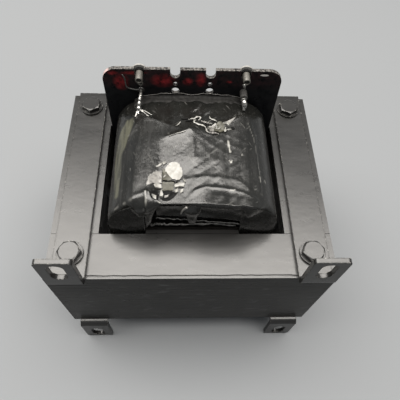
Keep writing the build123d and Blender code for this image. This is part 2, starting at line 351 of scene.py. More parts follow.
def finish_cad_nodes():
    """Each CAD node gets its slot's material, and the hard pieces a small rounding on their edges."""
    for row in frame["record"]["subparts"]:
        node = frame["nodes"][row["node"]]
        slot = row["material_slot"]
        node.data.materials.clear()
        node.data.materials.append(FINISHES[slot])
        if slot in BEVELLED:
            bevel = node.modifiers.new("soft_edges", "BEVEL")
            bevel.width = BEVELLED[slot] * MM
            bevel.segments = BEVEL_SEGMENTS
            bevel.limit_method = "ANGLE"
            bevel.angle_limit = math.radians(BEVEL_FROM_DEGREES)


# Mesh helpers: a shape is a pair of points, in the core's frame, and faces


def joined(shapes):
    """Several shapes as one."""
    points, faces = [], []
    for more_points, more_faces in shapes:
        start = len(points)
        points.extend(np.asarray(more_points, float).reshape(-1, 3))
        faces.extend(tuple(start + corner for corner in face) for face in more_faces)
    return points, faces


def make_piece(name, shape, slot, replaced=(), material=None, sharp=None):
    """A piece in its slot's finish or another material, smooth but for edges over the sharp angle."""
    points, faces = shape
    mesh = bpy.data.meshes.new(name)
    mesh.from_pydata(to_row(points).tolist(), [], faces)
    mesh.materials.append(material or FINISHES[slot])
    mesh.shade_smooth()
    if sharp is not None:
        mesh.set_sharp_from_angle(angle=math.radians(sharp))
    piece = bpy.data.objects.new(name, mesh)
    bpy.context.collection.objects.link(piece)
    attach(piece, "root")
    if replaced:
        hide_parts(*replaced)
    return piece


def grid_faces(rows, columns, closed=False, looped=False):
    """Faces between rows of points. Closed joins each row's ends, and looped the last row to the first."""
    faces = []
    for row in range(rows if looped else rows - 1):
        low, high = row * columns, (row + 1) % rows * columns
        for column in range(columns if closed else columns - 1):
            after = (column + 1) % columns
            faces.append((low + column, low + after, high + after, high + column))
    return faces


def smooth_route(points, count):
    """A curve through the points, evenly divided."""
    points = np.asarray(points, float)
    padded = np.vstack([2 * points[0] - points[1], points, 2 * points[-1] - points[-2]])
    places = np.linspace(0, len(points) - 1 - 1e-9, count)
    span = places.astype(int)
    t = (places - span)[:, None]
    a, b, c, d = (padded[span + step] for step in range(4))
    return b + 0.5 * t * (c - a + t * (2 * a - 5 * b + 4 * c - d + t * (3 * (b - c) + d - a)))


def tube(route, radii, sides=10):
    """Rings along a route, with a radius for each of its points, closed at both ends."""
    route = np.asarray(route, float)
    ahead = np.gradient(route, axis=0)
    ahead /= np.linalg.norm(ahead, axis=1)[:, None]
    side = np.cross(ahead[0], (0.31, 0.2, 0.93))
    rings = []
    turns = np.linspace(0, 2 * math.pi, sides, endpoint=False)
    for place, way, radius in zip(route, ahead, np.broadcast_to(radii, len(route))):
        side = side - way * np.dot(side, way)
        side /= np.linalg.norm(side)
        over = np.cross(way, side)
        rings.append(place + radius * (np.outer(np.cos(turns), side) + np.outer(np.sin(turns), over)))
    faces = grid_faces(len(rings), sides, closed=True)
    faces.append(tuple(reversed(range(sides))))
    faces.append(tuple((len(rings) - 1) * sides + corner for corner in range(sides)))
    return np.vstack(rings), faces


def turned(centre, profile, sides=36):
    """A profile of (y, radius) pairs turned about a centre line along Y, closed on itself."""
    turns = np.linspace(0, 2 * math.pi, sides, endpoint=False)
    rings = []
    for y, radius in profile:
        ring = np.column_stack([radius * np.cos(turns), np.full(sides, y), radius * np.sin(turns)])
        rings.append(ring + centre)
    return np.vstack(rings), grid_faces(len(rings), sides, closed=True, looped=True)


LATTICE = 97


def noise_field(across, along, cell_across, cell_along, seed):
    """Smooth random heights from -1 to 1 on a lattice of the given cells."""
    size = LATTICE
    lattice = np.random.default_rng(seed).uniform(-1, 1, (size, size))
    a, b = across / cell_across, along / cell_along
    i, j = np.floor(a).astype(int), np.floor(b).astype(int)
    s, t = a - i, b - j
    s, t = s * s * (3 - 2 * s), t * t * (3 - 2 * t)
    low = lattice[i % size, j % size] * (1 - s) + lattice[(i + 1) % size, j % size] * s
    high = lattice[i % size, (j + 1) % size] * (1 - s) + lattice[(i + 1) % size, (j + 1) % size] * s
    return low * (1 - t) + high * t


def distance_to(path, u, v):
    """Distance from each place to a line of points, and its side: 1 to the line's left, -1 to its right."""
    nearest = np.full(np.shape(u), np.inf)
    side = np.zeros(np.shape(u))
    for (u0, v0), (u1, v1) in zip(path, path[1:]):
        du, dv = u1 - u0, v1 - v0
        t = np.clip(((u - u0) * du + (v - v0) * dv) / (du * du + dv * dv), 0, 1)
        off_u, off_v = u - u0 - t * du, v - v0 - t * dv
        distance = np.hypot(off_u, off_v)
        nearer = distance < nearest
        nearest = np.where(nearer, distance, nearest)
        aside = (du * off_v - dv * off_u) / (math.hypot(du, dv) * np.maximum(distance, 1e-6))
        side = np.where(nearer, aside, side)
    return nearest, side


def inside(outline, u, v):
    """True for the places within a closed outline."""
    odd = np.zeros(np.shape(u), bool)
    for (u0, v0), (u1, v1) in zip(outline, outline[1:] + outline[:1]):
        if v0 == v1:
            continue
        crosses = (v0 > v) != (v1 > v)
        odd ^= crosses & (u < (u1 - u0) * (v - v0) / (v1 - v0) + u0)
    return odd


# Core: each packet as its stamped sheets

PACKETS = 7
SHEETS_A_PACKET = 16
SHEET_GAP = 0.02
SHEET_SLIP = 0.025
BOLT_HOLE_RADIUS = 2.65
HOLE_SIDES = 12


def hole_loops(holes):
    turns = np.linspace(0, 2 * math.pi, HOLE_SIDES, endpoint=False)
    rim = [(BOLT_HOLE_RADIUS * math.cos(turn), BOLT_HOLE_RADIUS * math.sin(turn)) for turn in turns]
    return [[(x + across, y + along) for across, along in rim] for x, y in holes]


def sheet(loops, low, high):
    """A flat plate of the given outline and holes between two heights."""
    triangles = tessellate_polygon([[Vector((x, y, 0)) for x, y in loop] for loop in loops])
    flat = [place for loop in loops for place in loop]
    count = len(flat)
    points = [(x, y, z) for z in (low, high) for x, y in flat]
    faces = []
    for a, b, c in triangles:
        (ax, ay), (bx, by), (cx, cy) = flat[a], flat[b], flat[c]
        if (bx - ax) * (cy - ay) < (by - ay) * (cx - ax):
            b, c = c, b
        faces += [(a, c, b), (count + a, count + b, count + c)]
    start = 0
    for loop in loops:
        area = sum(x0 * y1 - x1 * y0 for (x0, y0), (x1, y1) in zip(loop, loop[1:] + loop[:1]))
        wanted = 1 if start == 0 else -1
        for step in range(len(loop)):
            here, after = start + step, start + (step + 1) % len(loop)
            if area * wanted < 0:
                here, after = after, here
            faces.append((here, after, count + after, count + here))
        start += len(loop)
    return points, faces


def e_outline(node):
    """The E of a packet, from the node's box: its yoke at the back if the packet reaches the core's back."""
    (left, low_y, _), (right, high_y, _) = node_box(node)
    leg = right / 3
    way = 1 if abs(high_y) > abs(low_y) else -1
    back, tip = (high_y, low_y) if way > 0 else (low_y, high_y)
    root = back - way * leg
    outline = [(left, back), (right, back), (right, tip), (2 * leg, tip), (2 * leg, root), (leg, root)]
    outline += [(leg, tip), (-leg, tip), (-leg, root), (-2 * leg, root), (-2 * leg, tip), (left, tip)]
    hole_y = back - way * leg / 2
    return outline, [(x, hole_y) for x in (left + leg / 2, right - leg / 2)]


def i_outline(node):
    (left, low_y, _), (right, high_y, _) = node_box(node)
    outline = [(left, low_y), (right, low_y), (right, high_y), (left, high_y)]
    hole_y = (low_y + high_y) / 2
    return outline, [(x, hole_y) for x in (left + right / 6, right - right / 6)]


def make_laminations():
    slips = np.random.default_rng(5)
    for level in range(1, PACKETS + 1):
        for kind, outline_of in (("e", e_outline), ("i", i_outline)):
            node = f"{kind}_packet_{level}"
            outline, holes = outline_of(node)
            low, high = (corner[2] for corner in node_box(node))
            pitch = (high - low) / SHEETS_A_PACKET
            sheets = []
            for number in range(SHEETS_A_PACKET):
                bottom = low + number * pitch
                shift = slips.uniform(-SHEET_SLIP, SHEET_SLIP, 2)
                moved = [(x + shift[0], y + shift[1]) for x, y in outline]
                top = bottom + pitch - (SHEET_GAP if number < SHEETS_A_PACKET - 1 else 0)
                sheets.append(sheet([moved] + hole_loops(holes), bottom, top))
            make_piece(f"{kind}_laminations_{level}", joined(sheets), "core", [node], sharp=30)


# Coil

COIL_LOW, COIL_HIGH = node_box("tape_wrap")
COIL_FRONT, COIL_BACK = COIL_LOW[1], COIL_HIGH[1]
COIL_MIDDLE_Z = (COIL_LOW[2] + COIL_HIGH[2]) / 2
COIL_CROWN = 1.2
COIL_SHOULDER = 16.0


class Section:
    """The outline of the coil across its axis, or of a layer in it, about the coil's middle."""

    def __init__(self, half_width, half_height, crown, shoulder):
        self.shoulder = shoulder
        self.crown_radius = (half_width**2 + crown**2) / (2 * crown)
        self.crown_drop = self.crown_radius - half_height
        self.corner_x = half_width - shoulder
        arm = self.crown_radius - shoulder
        self.corner_z = math.sqrt(arm**2 - self.corner_x**2) - self.crown_drop
        self.turn = math.asin(self.corner_x / arm)
        self.top_length = self.crown_radius * self.turn
        self.shoulder_length = shoulder * (math.pi / 2 - self.turn)
        self.quarter = self.top_length + self.shoulder_length + self.corner_z

    def at(self, along):
        """x and z, and the way out, at lengths along the outline from the middle of its top."""
        reach = np.abs(along)
        upper = reach <= self.quarter
        reach = np.where(upper, reach, 2 * self.quarter - reach)
        on_top = reach < self.top_length
        bend = np.minimum(self.turn + (reach - self.top_length) / self.shoulder, math.pi / 2)
        angle = np.where(on_top, reach / self.crown_radius, bend)
        straight = np.maximum(reach - self.top_length - self.shoulder_length, 0)
        x = np.where(on_top, self.crown_radius * np.sin(angle), self.corner_x + self.shoulder * np.sin(angle))
        top_z = self.crown_radius * np.cos(angle) - self.crown_drop
        z = np.where(on_top, top_z, self.corner_z + self.shoulder * np.cos(angle) - straight)
        right = np.where(along < 0, -1.0, 1.0)
        up = np.where(upper, 1.0, -1.0)
        return right * x, up * z + COIL_MIDDLE_Z, right * np.sin(angle), up * np.cos(angle)


COIL = Section(COIL_HIGH[0], (COIL_HIGH[2] - COIL_LOW[2]) / 2, COIL_CROWN, COIL_SHOULDER)

# Tape: creases as lines on the unrolled wrap, u along the loop from the top's middle and v to the back,
# with a height and how far each falls off to the left and to the right of the line
CREASES = [
    ([(-10.0, 3.5), (-3.0, 5.6), (-1.0, 7.2), (1.0, 7.0)], 1.1, 3.0, 12.0),
    ([(-1.0, 7.2), (-0.5, 5.0), (0.3, 0.2), (0.0, -6.6)], 0.7, 1.6, 6.0),
    ([(-0.5, 6.0), (6.0, 0.5), (13.0, -5.0)], 0.12, 1.8, 0.7),
    ([(0.2, 5.5), (3.0, -1.0), (8.0, -8.5)], 0.1, 1.8, 0.7),
    ([(2.0, 6.5), (8.0, 4.0), (17.0, -1.5)], 0.12, 1.6, 0.6),
    ([(3.0, 7.0), (12.0, 5.6), (21.0, 1.6)], 0.1, 1.4, 0.6),
    ([(-9.9, 3.0), (-5.4, 4.9), (-1.4, 6.6)], 0.25, 0.4, 0.5),
    ([(-3.4, -16.5), (5.1, -15.6), (12.1, -16.3), (16.9, -17.0), (20.0, -19.9),
        (21.8, -22.5)], 0.22, 0.65, 3.2),
    ([(0.7, -21.5), (4.9, -20.3), (14.2, -21.2), (18.8, -22.8), (23.1, -24.7)], 0.34, 0.35, 1.4),
    ([(8.0, -24.4), (14.0, -25.0), (21.0, -26.4)], 0.1, 0.9, 1.2),
    ([(-23.5, 11.4), (-26.6, 4.6), (-29.0, -1.9), (-28.4, -14.2), (-28.5, -22.5)], 0.15, 0.3, 1.2),
    ([(23.7, 16.3), (25.9, 7.0), (25.3, -9.0), (25.9, -14.7), (25.5, -20.5)], 0.3, 0.5, 1.2),
    ([(-4.9, 23.7), (-4.9, 15.9)], 0.25, 0.9, 0.4),
    ([(4.6, 23.9), (1.4, 18.8)], 0.25, 0.4, 1.0),
    ([(9.0, 22.0), (6.0, 17.0)], 0.2, 0.4, 1.0),
    ([(12.6, 10.9), (17.4, 13.8), (23.2, 16.9)], 0.5, 0.5, 2.6),
    ([(-18.3, 14.6), (-9.0, 9.5), (-5.0, 7.5)], 0.35, 0.5, 2.6),
    ([(-24.8, 22.9), (-23.3, 8.7)], 0.15, 0.4, 0.4),
    ([(-17.7, -23.0), (-17.2, -28.3)], 0.6, 0.4, 0.5),
    ([(-14.5, -22.6), (-17.7, -23.0), (-21.3, -24.4), (-25.3, -25.2), (-31.6, -26.6)], 0.5, 0.7, 0.5),
]
# Broad tilts of the film: how much it rises to the front, between which places along the loop, over what
# soft length, and from where at the back to where at the front
TILTS = [
    (0.037, -24.0, -15.0, 2.0, 12.0, -27.0),
    (-0.03, -13.0, -1.5, 2.0, 6.0, -14.0),
    (0.03, 2.0, 12.0, 2.0, 8.0, -8.0),
    (0.012, 10.0, 28.0, 4.0, 12.0, -14.0),
    (0.02, -20.0, 22.0, 4.0, 26.0, 13.0),
]
# Sag of the film in front of its second fold: where it starts, how that slants past a place along the loop,
# how long it is, its rise and bend, and between which places it lies, with a soft length
SAG_START, SAG_SLANT, SAG_SLANT_FROM = -21.2, 0.14, 5.0
SAG_LENGTH, SAG_RISE, SAG_BEND = 9.0, 0.13, 0.001
SAG_ACROSS = (4.0, 24.0, 3.0)
CREST_ROUND = 0.35
OLIVE_OUTER = [(-23.8, 16.6), (-28.3, 16.1), (-33.3, 11.0), (-35.4, 1.8), (-34.5, -11.1), (-32.8, -22.0)]
OLIVE_INNER = [(-28.8, -22.6), (-28.6, -13.9), (-28.4, -2.0), (-26.5, 3.9), (-23.6, 12.7)]
# Pale lines on the film: some are real marks, such as drips and dots, and some are painted highlights on
# glints and crests. Path, half width and strength
PALE_MARKS_AND_HIGHLIGHTS = [
    ([(14.1, 1.8), (14.2, -0.7), (14.6, -3.8)], 0.26, 1.0),
    ([(14.1, -8.0), (14.6, -9.0), (15.0, -8.0)], 0.22, 1.0),
    ([(19.1, -4.7), (19.3, -5.0)], 0.22, 0.7),
    # painted glints
    ([(25.8, -13.8), (26.0, -16.0)], 0.22, 0.8),
    ([(28.9, -14.4), (29.1, -15.2)], 0.22, 0.7),
    ([(-17.7, -23.0), (-17.4, -26.0)], 0.28, 0.5),
    ([(13.4, -21.6), (14.6, -22.0), (15.2, -21.4)], 0.18, 0.9),
    # painted highlight along the right shoulder's crest
    ([(23.0, 13.0), (25.2, 5.0), (26.0, -6.0), (26.0, -13.0)], 0.15, 0.22),
    # painted highlight along the left front crest
    ([(-31.6, -26.4), (-25.3, -25.2), (-21.3, -24.4)], 0.18, 0.3),
]
EDGE_ROUND = 2.4
OPEN_EDGE_ROUND = 0.15
LEFT_EDGE_ROUND = 4.0
CLOSED_LIP = 6.5
OPEN_LIP = 1.3
FRONT_OVERHANG = 1.5
FINE_REACH = 38.0
FINE_STEP = 0.4
COARSE_STEP = 1.7
FLAT_ROWS = 118
WRINKLE_DEGREES = -38
# Stretches along the loop, each from where, to where and over what soft length: where the front edge is
# rounder, where it is open, where the lip is short, where it hangs over, and where two kinds of wrinkles lie
ROUND_EDGE = (-30, -16.5, 2.0)
OPEN_EDGE = (-13.0, 26.0, 2.0)
SHORT_LIP = (-15.0, 20.0, 2.5)
OVERHANG = (6.0, 26.0, 4.0)
RIGHT_WRINKLES = (-3, 34, 5)
LEFT_WRINKLES = (-34, -3, 5)


def smooth_step(value, low, high):
    t = np.clip((value - low) / (high - low), 0, 1)
    return t * t * (3 - 2 * t)


def band(value, low, high, soft):
    """1 between two values, fading out over the soft length at each."""
    return smooth_step(value, low - soft, low + soft) * (1 - smooth_step(value, high - soft, high + soft))


def tape_relief(u, v):
    """Height of the crumpled film over the smooth coil."""
    relief = 0.08 * noise_field(u + 200, v + 200, 11.0, 8.0, 1)
    for slope, low, high, soft, back, front in TILTS:
        relief += slope * (back - np.clip(v, front, back)) * band(u, low, high, soft)
    past = SAG_START - SAG_SLANT * np.maximum(u - SAG_SLANT_FROM, 0) - v
    past = np.clip(past, 0, SAG_LENGTH)
    relief += (SAG_RISE * past - SAG_BEND * past**2) * band(u, *SAG_ACROSS)
    for path, height, left, right in CREASES:
        distance, side = distance_to(path, u, v)
        width = right + (left - right) * smooth_step(side, -1, 1)
        relief += height * np.exp(-(np.hypot(distance, CREST_ROUND) - CREST_ROUND) / width)
    turn = math.radians(WRINKLE_DEGREES)
    slant_across = u * math.sin(turn) + v * math.cos(turn)
    slant_along = u * math.cos(turn) - v * math.sin(turn)
    right_part = band(u, *RIGHT_WRINKLES)
    left_part = band(u, *LEFT_WRINKLES)
    relief += 0.05 * right_part * noise_field(slant_across + 200, slant_along + 200, 1.3, 15.0, 2)
    relief += 0.03 * left_part * noise_field(u + 200, v + 200, 1.2, 11.0, 3)
    relief += 0.025 * noise_field(u + 200, v + 200, 1.1, 1.1, 4)
    back_part = smooth_step(v, 12, 17)
    relief += 0.05 * back_part * noise_field(slant_across + 300, slant_along + 300, 2.2, 4.0, 6)
    return relief


def tape_columns():
    fine = np.arange(-FINE_REACH, FINE_REACH, FINE_STEP)
    coarse = np.arange(FINE_REACH, 4 * COIL.quarter - FINE_REACH, COARSE_STEP)
    along = np.concatenate([fine, coarse])
    return np.where(along > 2 * COIL.quarter, along - 4 * COIL.quarter, along)


def end_rows(end, way, edge, lip):
    """Rows from a lip's inside, round the edge, to the flat: y, inset, facing out and to the end, and v."""
    rows = [(end - way * 1.0, lip, 0.0, 0.0, end + way * (lip + edge * (math.pi / 2 - 2)))]
    for share in np.linspace(1, 0, 9)[:-1]:
        inset = edge + (lip - edge) * share
        rows.append((end, inset, 0.0, way, end + way * (inset + edge * (math.pi / 2 - 2))))
    for angle in np.linspace(0, math.pi / 2, 9):
        y = end - way * edge * (1 - math.cos(angle))
        v = end - way * edge + way * edge * (math.pi / 2 - angle)
        rows.append((y, edge * (1 - math.sin(angle)), math.sin(angle), way * math.cos(angle), v))
    return rows


def front_shape(u):
    """The wrap's front along the loop: its y, the rounding of its edge and how far it turns in."""
    edge = EDGE_ROUND + (LEFT_EDGE_ROUND - EDGE_ROUND) * band(u, *ROUND_EDGE)
    edge += (OPEN_EDGE_ROUND - EDGE_ROUND) * band(u, *OPEN_EDGE)
    short = band(u, *SHORT_LIP)
    lip = np.maximum(CLOSED_LIP + (OPEN_LIP - CLOSED_LIP) * short, edge + 0.3)
    uneven = 0.25 * noise_field(u + 90, 90, 3.0, 1.0, 15)
    return COIL_FRONT - FRONT_OVERHANG * band(u, *OVERHANG) - uneven, edge, lip


def make_tape():
    """The crumpled film over the coil, turned in over both ends."""
    u = tape_columns()
    front, front_edge, front_lip = front_shape(u)
    rows = end_rows(front, -1, front_edge, front_lip)
    flat_start, flat_end = front + front_edge, COIL_BACK - EDGE_ROUND
    for share in np.concatenate([[0.002], np.linspace(0, 1, FLAT_ROWS)[1:-1]]):
        y = flat_start + (flat_end - flat_start) * share
        rows.append((y, 0.0, 1.0, 0.0, y))
    rows += reversed(end_rows(COIL_BACK, 1, EDGE_ROUND, CLOSED_LIP))
    x, z, out_x, out_z = COIL.at(u)
    bulge = 1 - 0.9 * band(u, *SAG_ACROSS)
    points, unrolled = [], []
    for y, inset, outward, endward, v in rows:
        relief = tape_relief(u, v) * (1 - 0.8 * smooth_step(v, COIL_BACK - 2.5, COIL_BACK - 0.5))
        push = relief * outward - inset
        points.append(np.column_stack([x + out_x * push, y + relief * bulge * endward, z + out_z * push]))
        unrolled.append(np.column_stack([u, np.broadcast_to(v, u.shape)]))
    shape = np.vstack(points), grid_faces(len(rows), len(u), closed=True)
    piece = make_piece("tape_film", shape, "tape", ["tape_wrap"])
    mark_film(piece.data, *np.vstack(unrolled).T)


def mark_film(mesh, u, v):
    """Stores where the film is olive, and where it is pale with real marks and painted highlights, point by
    point.
    """
    olive = inside(OLIVE_OUTER + OLIVE_INNER, u, v).astype(float)
    edge, _ = distance_to(OLIVE_OUTER + OLIVE_INNER + OLIVE_OUTER[:1], u, v)
    streaks = noise_field(u + 200, v + 200, 0.9, 7.0, 7)
    olive *= smooth_step(edge + 0.5 * streaks, 0.1, 1.3) * (0.75 + 0.5 * streaks)
    pale = np.zeros(u.shape)
    for path, reach, strength in PALE_MARKS_AND_HIGHLIGHTS:
        distance, _ = distance_to(path, u, v)
        pale = np.maximum(pale, strength * (1 - smooth_step(distance, reach * 0.6, reach * 1.4)))
    pale *= 0.75 + 0.35 * noise_field(u + 200, v + 200, 0.7, 0.7, 8)
    for name, values in (("olive", olive), ("pale", pale)):
        layer = mesh.attributes.new(name, "FLOAT", "POINT")
        layer.data.foreach_set("value", np.clip(values, 0, 1).astype(np.float32))


def on_tape(u, v, lift):
    """Places at a height over the crumpled film."""
    u, v, lift = np.broadcast_arrays(u, v, lift)
    x, z, out_x, out_z = COIL.at(u)
    push = tape_relief(u, v) + lift
    return np.column_stack([x + out_x * push, v, z + out_z * push])


# Scraps of torn film

SCRAP_STEPS = 44
SCRAP_RINGS = 7
SCRAP_ROUGH = 0.07


def ragged(outline, rough, draws):
    """A closed outline through the points, evenly divided and torn."""
    corners = np.array(outline + outline[:1])
    lengths = np.concatenate([[0], np.cumsum(np.linalg.norm(np.diff(corners, axis=0), axis=1))])
    places = np.linspace(0, lengths[-1], SCRAP_STEPS, endpoint=False)
    edge = np.column_stack([np.interp(places, lengths, corners[:, axis]) for axis in (0, 1)])
    centre = edge.mean(axis=0)
    return centre + (edge - centre) * (1 + draws.uniform(-rough, rough, (SCRAP_STEPS, 1))), centre


def scrap(outline, lift, curl, draws):
    """A torn scrap on the film: rings from its middle to its ragged edge, then down to the film below."""
    edge, centre = ragged(outline, SCRAP_ROUGH, draws)
    phase = draws.uniform(0, 2 * math.pi)
    around = np.linspace(0, 2 * math.pi, SCRAP_STEPS, endpoint=False)
    rings = []
    for ring in range(1, SCRAP_RINGS + 1):
        share = ring / SCRAP_RINGS
        place = centre + (edge - centre) * share
        wave = curl * share**2 * (0.55 + 0.45 * np.sin(2 * around + phase))
        dents = 0.3 * curl * noise_field(place[:, 0] + 90, place[:, 1] + 90, 0.9, 0.9, 11)
        rings.append(on_tape(place[:, 0], place[:, 1], lift + wave + dents))
    rings.append(on_tape(edge[:, 0], edge[:, 1], -0.15))
    middle = on_tape(centre[:1], centre[1:], lift)
    points = np.vstack([middle] + rings)
    ring_faces = grid_faces(len(rings), SCRAP_STEPS, closed=True)
    faces = [tuple(corner + 1 for corner in face) for face in ring_faces]
    faces += [(0, 1 + step, 1 + (step + 1) % SCRAP_STEPS) for step in range(SCRAP_STEPS)]
    return points, [tuple(reversed(face)) for face in faces] if is_clockwise(edge) else faces


def is_clockwise(edge):
    after = np.roll(edge, -1, axis=0)
    return np.sum(edge[:, 0] * after[:, 1] - after[:, 0] * edge[:, 1]) < 0


# The patch and the tear as scraps of film: which film, outline on the unrolled wrap, lift and curl
SCRAPS = [
    # Scraps in the black fibre sit in the tear's openings: dark matte sheets, darker than the film as painted
    # shade
    ("shaded_gap", [(-11.6, -21.7), (-9.3, -21.3), (-7.3, -22.2), (-5.9, -22.3), (-7.7, -24.8), (-9.7, -26.0),
        (-11.8, -25.5)], 0.1, 0.1),
    ("shaded_gap", [(-16.4, -22.8), (-13.8, -22.4), (-12.6, -23.4), (-13.2, -25.6), (-15.6, -25.4)], 0.1, 0.1),
    ("grey", [(-14.2, -13.1), (-12.2, -13.1), (-12.0, -15.7), (-12.1, -18.5), (-15.1, -18.8),
        (-17.6, -20.5), (-16.8, -16.2)], 0.25, 0.15),
    ("grey", [(-11.0, -23.9), (-9.0, -23.3), (-9.7, -24.5), (-10.8, -24.8)], 0.35, 0.4),
    ("beige", [(-11.8, -17.7), (-9.6, -17.9), (-7.5, -17.8), (-7.6, -21.6), (-9.7, -21.5),
        (-11.6, -21.6)], 0.3, 0.1),
    ("beige", [(-11.8, -12.1), (-10.9, -12.0), (-9.9, -14.4), (-8.3, -16.3), (-8.6, -17.1),
        (-11.7, -17.1)], 0.35, 0.5),
    ("white", [(-11.0, -12.4), (-10.0, -10.4), (-8.4, -9.2), (-6.4, -8.9), (-5.2, -10.4), (-4.4, -12.6),
        (-4.3, -15.2), (-5.6, -16.8), (-8.0, -16.8), (-9.6, -15.0)], 0.4, 0.2),
    ("white", [(-14.9, -19.6), (-13.9, -18.5), (-12.1, -19.1), (-11.9, -20.8), (-14.2, -20.7)], 0.4, 0.5),
    ("white", [(-7.2, -18.9), (-5.4, -18.4), (-3.5, -18.2), (-3.7, -20.0), (-7.1, -20.3)], 0.4, 0.6),
    ("white", [(-7.3, -21.5), (-5.8, -20.6), (-5.8, -22.0), (-7.0, -22.6)], 0.4, 0.6),
    ("white", [(-5.2, -22.0), (-4.7, -21.0), (-3.8, -20.7), (-3.9, -22.0), (-5.1, -22.6)], 0.3, 0.4),
    ("white", [(-4.1, -16.5), (-2.9, -17.4), (-3.3, -18.1), (-3.9, -17.3)], 0.5, 0.6),
    ("white", [(-14.3, -11.4), (-13.2, -10.1), (-12.0, -9.5), (-12.2, -10.2), (-14.0, -11.8)], 0.4, 0.4),
    ("white", [(-11.9, -9.3), (-11.1, -8.8), (-10.3, -9.2), (-11.1, -9.8), (-11.5, -10.6)], 0.4, 0.6),
    ("white", [(-11.4, -15.7), (-10.7, -14.7), (-10.6, -15.4), (-11.2, -16.3)], 0.7, 0.3),
    ("white", [(-16.6, -16.1), (-16.3, -15.0), (-16.0, -15.5)], 0.3, 0.3),
    ("white", [(-15.2, -14.0), (-14.6, -14.4), (-15.1, -15.0)], 0.3, 0.3),
    ("white", [(-12.4, -22.1), (-11.9, -21.6), (-11.3, -23.1), (-11.5, -24.7), (-12.6, -24.3)], 0.4, 0.8),
    ("white", [(-15.4, -24.5), (-14.6, -23.9), (-13.7, -24.2), (-13.8, -25.8), (-14.8, -25.4)], 0.4, 0.8),
    ("white", [(-13.7, -26.3), (-12.8, -26.4), (-12.0, -26.8), (-12.7, -27.0)], 0.3, 0.4),
    ("grey", [(5.6, 7.9), (7.5, 8.8), (9.1, 10.4), (9.8, 8.4), (9.0, 6.2), (6.9, 5.3)], 0.3, 0.8),
    ("beige", [(8.9, 8.6), (9.1, 10.4), (10.9, 11.4), (12.8, 9.2), (12.9, 6.6), (10.2, 5.2),
        (8.6, 6.2)], 0.35, 0.9),
    ("grey", [(11.5, 10.3), (13.3, 11.5), (14.9, 12.5), (18.2, 14.7), (16.8, 12.8),
        (14.8, 10.2)], 0.2, 0.2),
    ("white", [(5.8, 7.9), (7.0, 8.6), (7.6, 8.2), (6.8, 7.7)], 0.8, 0.3),
    ("white", [(13.7, 10.4), (14.5, 10.9), (14.9, 9.3), (14.2, 9.3)], 0.6, 0.6),
]
# Torn edges as crumpled strips: which film, path, width and lift
STRIPS = [
    # Strips in the black fibre are dark matte sheets along the tear's gaps, as painted shade
    ("shaded_gap", [(2.6, 10.7), (4.6, 9.7), (5.6, 8.6), (7.3, 9.4)], 1.2, 0.45),
    ("shaded_gap", [(15.6, 8.9), (16.6, 8.3), (17.0, 7.9)], 1.0, 0.15),
    ("shaded_gap", [(-4.7, 12.9), (-3.4, 12.9), (-1.7, 13.1)], 0.7, 0.15),
    ("shaded_gap", [(-3.0, 11.6), (-0.1, 11.8)], 0.6, 0.1),
    ("white", [(-1.7, 12.2), (-0.5, 12.8), (0.6, 12.9), (1.6, 13.9), (2.8, 14.1), (3.2, 13.2),
        (2.3, 12.1)], 0.7, 0.6),
    ("white", [(1.3, 12.5), (0.5, 11.3), (0.9, 10.5), (2.6, 9.6), (4.4, 8.9), (5.2, 7.7)], 0.7, 0.5),
    ("white", [(5.2, 7.7), (5.6, 5.9), (6.7, 4.9)], 0.6, 0.5),
    ("grey", [(6.5, 5.0), (7.9, 5.1), (9.2, 5.2), (10.4, 4.6)], 0.5, 0.5),
    ("grey", [(3.3, 11.9), (4.6, 11.1), (6.0, 10.8), (7.9, 10.3)], 0.8, 0.7),
    ("white", [(7.5, 8.0), (9.0, 7.6), (10.3, 7.2), (11.1, 8.3)], 0.5, 0.9),
    ("white", [(13.1, 8.8), (13.2, 7.7), (13.0, 6.2), (13.7, 7.1), (15.7, 7.6)], 0.6, 0.7),
    ("white", [(6.8, 14.8), (7.5, 13.3), (8.8, 12.7), (10.0, 11.8)], 0.45, 0.4),
    ("white", [(-4.9, 11.3), (-5.8, 9.7), (-6.9, 8.4)], 0.4, 0.4),
    ("white", [(-7.2, 3.8), (-5.9, 4.3), (-4.2, 4.7), (-2.9, 5.4)], 0.3, 0.2),
    ("grey", [(-9.9, 2.6), (-8.4, 3.4), (-7.2, 3.8)], 0.25, 0.1),
    ("shaded_gap", [(-11.8, -17.3), (-10.4, -17.7), (-8.0, -17.4), (-7.0, -17.8), (-5.1, -17.2)], 0.5, 0.5),
]


def ribbon(path, width, lift, seed, steps=46, across=5):
    """A crumpled strip of film that follows a path, its two edges lifted unevenly."""
    middle = smooth_route(np.array([(u, v, 0) for u, v in path]), steps)[:, :2]
    ahead = np.gradient(middle, axis=0)
    ahead /= np.linalg.norm(ahead, axis=1)[:, None]
    aside = np.column_stack([-ahead[:, 1], ahead[:, 0]])
    along = np.linspace(0, 1, steps)
    places = along * 14 + 60
    taper = np.sin(np.pi * np.clip(along, 0.04, 0.96)) ** 0.5
    rows = []
    for share in np.linspace(-0.5, 0.5, across):
        torn = 1 + 0.45 * noise_field(places, 7 * share + 60, 0.8, 1.0, seed)
        ragged_width = width * taper * torn
        spot = middle + aside * (share * ragged_width)[:, None]
        curl = lift * (0.35 + 0.65 * noise_field(places, 5 * share + 80, 0.9, 1.3, seed + 9)) + 0.25
        rows.append(on_tape(spot[:, 0], spot[:, 1], np.maximum(curl, 0.06)))
    return np.vstack(rows), grid_faces(across, steps)


FILM_THICKNESS = 0.12
FIRST_STRIP_SEED = 70


